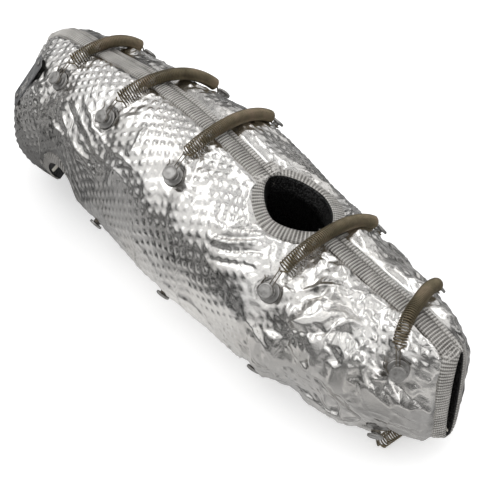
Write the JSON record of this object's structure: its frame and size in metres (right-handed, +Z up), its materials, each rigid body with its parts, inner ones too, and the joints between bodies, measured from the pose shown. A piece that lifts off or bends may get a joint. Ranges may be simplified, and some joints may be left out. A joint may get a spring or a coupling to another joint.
{
  "type": "exhaust manifold insulation jacket",
  "caption": "Two-piece foil-faced insulation jacket that wraps an exhaust manifold, laced shut with springs between studs, with an outlet opening on top and port openings below.",
  "frame": {"origin": "middle of the bounding box in plan, at the height of the feet of the lower lacing springs", "axes": "+X along the jacket towards the end with the outlet opening nearer to it, -Y out of the removable front half, +Z up through the outlet opening"},
  "size_m": [0.5448, 0.155, 0.1773],
  "materials": {
    "foil": "bright embossed foil",
    "blanket": "needled glass fibre",
    "inner_mesh": "knitted stainless mesh",
    "knitted_tape": "knitted stainless tape",
    "spring_wire": "dull heat-tinted spring wire",
    "lacing_wire": "plain annealed wire",
    "stud": "turned stainless steel",
    "plate": "blank stamped plate"
  },
  "bodies": {
    "back_half": {"back_blanket": "blanket", "back_end_tape_left": "knitted_tape", "back_end_tape_right": "knitted_tape", "back_inner_mesh": "inner_mesh", "back_outer_foil": "foil", "back_outlet_tape": "knitted_tape", "back_port_tape": "knitted_tape", "back_seam_tape_left": "knitted_tape", "back_seam_tape_right": "knitted_tape", "lower_capstan_rear_1": "stud", "lower_capstan_rear_2": "stud", "lower_capstan_rear_3": "stud", "lower_capstan_rear_4": "stud", "top_capstan_rear_1": "stud", "top_capstan_rear_2": "stud", "top_capstan_rear_3": "stud", "top_capstan_rear_4": "stud", "top_capstan_rear_5": "stud"},
    "front_half": {"front_blanket": "blanket", "front_end_tape_left": "knitted_tape", "front_end_tape_right": "knitted_tape", "front_inner_mesh": "inner_mesh", "front_outer_foil": "foil", "front_outlet_tape": "knitted_tape", "front_port_tape": "knitted_tape", "front_seam_tape_left": "knitted_tape", "front_seam_tape_right": "knitted_tape", "lower_capstan_front_1": "stud", "lower_capstan_front_2": "stud", "lower_capstan_front_3": "stud", "lower_capstan_front_4": "stud", "lower_spring_1": "spring_wire", "lower_spring_2": "spring_wire", "lower_spring_3": "spring_wire", "lower_spring_4": "spring_wire", "lower_wire_1": "lacing_wire", "lower_wire_2": "lacing_wire", "lower_wire_3": "lacing_wire", "lower_wire_4": "lacing_wire", "plate_rivet_lower": "stud", "plate_rivet_upper": "stud", "rating_plate": "plate", "top_capstan_front_1": "stud", "top_capstan_front_2": "stud", "top_capstan_front_3": "stud", "top_capstan_front_4": "stud", "top_capstan_front_5": "stud"},
    "lacing_1": {"top_spring_1": "spring_wire", "lacing_wire_1": "lacing_wire"},
    "lacing_2": {"top_spring_2": "spring_wire", "lacing_wire_2": "lacing_wire"},
    "lacing_3": {"top_spring_3": "spring_wire", "lacing_wire_3": "lacing_wire"},
    "lacing_4": {"top_spring_4": "spring_wire", "lacing_wire_4": "lacing_wire"},
    "lacing_5": {"top_spring_5": "spring_wire", "lacing_wire_5": "lacing_wire"}
  },
  "joints": [
    {"name": "front_half_removal", "type": "slide", "parent": "back_half", "child": "front_half", "axis": [0, -1, 0], "range_m": [0, 0.16], "stiffness_N_per_m": 250, "springref_m": -0.03, "deforming": ["lower_spring_1", "lower_spring_2", "lower_spring_3", "lower_spring_4", "top_spring_1", "top_spring_2", "top_spring_3", "top_spring_4", "top_spring_5"]},
    {"name": "lacing_1_flip", "type": "hinge", "parent": "front_half", "child": "lacing_1", "pos_m": [-0.1693, -0.04195, 0.14266], "axis": [1, 0, 0], "range_deg": [0, 165], "deforming": ["lacing_wire_1"]},
    {"name": "lacing_2_flip", "type": "hinge", "parent": "front_half", "child": "lacing_2", "pos_m": [-0.08819, -0.04813, 0.14709], "axis": [1, 0, 0], "range_deg": [0, 165], "deforming": ["lacing_wire_2"]},
    {"name": "lacing_3_flip", "type": "hinge", "parent": "front_half", "child": "lacing_3", "pos_m": [0.00849, -0.05096, 0.1446], "axis": [1, 0, 0], "range_deg": [0, 165], "deforming": ["lacing_wire_3"]},
    {"name": "lacing_4_flip", "type": "hinge", "parent": "front_half", "child": "lacing_4", "pos_m": [0.13458, -0.05896, 0.11135], "axis": [1, 0, 0], "range_deg": [0, 165], "deforming": ["lacing_wire_4"]},
    {"name": "lacing_5_flip", "type": "hinge", "parent": "front_half", "child": "lacing_5", "pos_m": [0.24554, -0.03126, 0.09433], "axis": [1, 0, 0], "range_deg": [0, 165], "deforming": ["lacing_wire_5"]}
  ]
}
